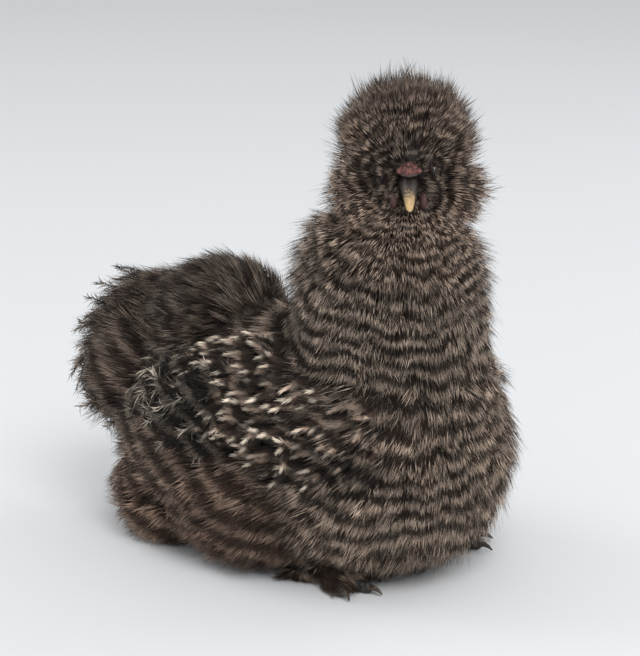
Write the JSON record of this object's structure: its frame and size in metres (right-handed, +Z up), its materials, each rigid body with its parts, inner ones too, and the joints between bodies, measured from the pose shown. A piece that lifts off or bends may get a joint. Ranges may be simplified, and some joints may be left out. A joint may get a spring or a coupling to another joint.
{
  "type": "silkie chicken figure",
  "caption": "Life-size cuckoo-barred silkie hen sitting low in its fluff, ball crest and beard round the beak, head turned right, rounded tail cushion, folded wings, feathered toes.",
  "frame": {"origin": "on the floor, in the middle of the flat that the belly rests on", "axes": "+Z up; the body faces -Y, with its left side at +X; the head is turned to the bird's right"},
  "size_m": [0.1736, 0.2903, 0.2923],
  "materials": {
    "horn": "satin horn",
    "claw": "satin horn",
    "bare_skin": "soft skin",
    "eye": "wet gloss",
    "leg": "scaled skin under short feathers",
    "head_plumage": "hair-like down, barred",
    "body_plumage": "hair-like down, barred",
    "wing_plumage": "shredded vanes with cream tips",
    "tail_plumage": "hair-like down, faintly barred"
  },
  "bodies": {
    "root": {"beak_upper": "horn", "beak_lower": "horn", "comb": "bare_skin", "eye_left": "eye", "wattle_left": "bare_skin", "eye_right": "eye", "wattle_right": "bare_skin", "head": "head_plumage", "neck": "head_plumage", "wing_left": "wing_plumage", "claw_left_1": "claw", "claw_left_2": "claw", "claw_left_3": "claw", "claw_left_4": "claw", "claw_left_5": "claw", "leg_left": "leg", "thigh_left": "body_plumage", "wing_right": "wing_plumage", "claw_right_1": "claw", "claw_right_2": "claw", "claw_right_3": "claw", "claw_right_4": "claw", "claw_right_5": "claw", "leg_right": "leg", "thigh_right": "body_plumage", "torso": "body_plumage", "tail": "tail_plumage"}
  },
  "joints": []
}
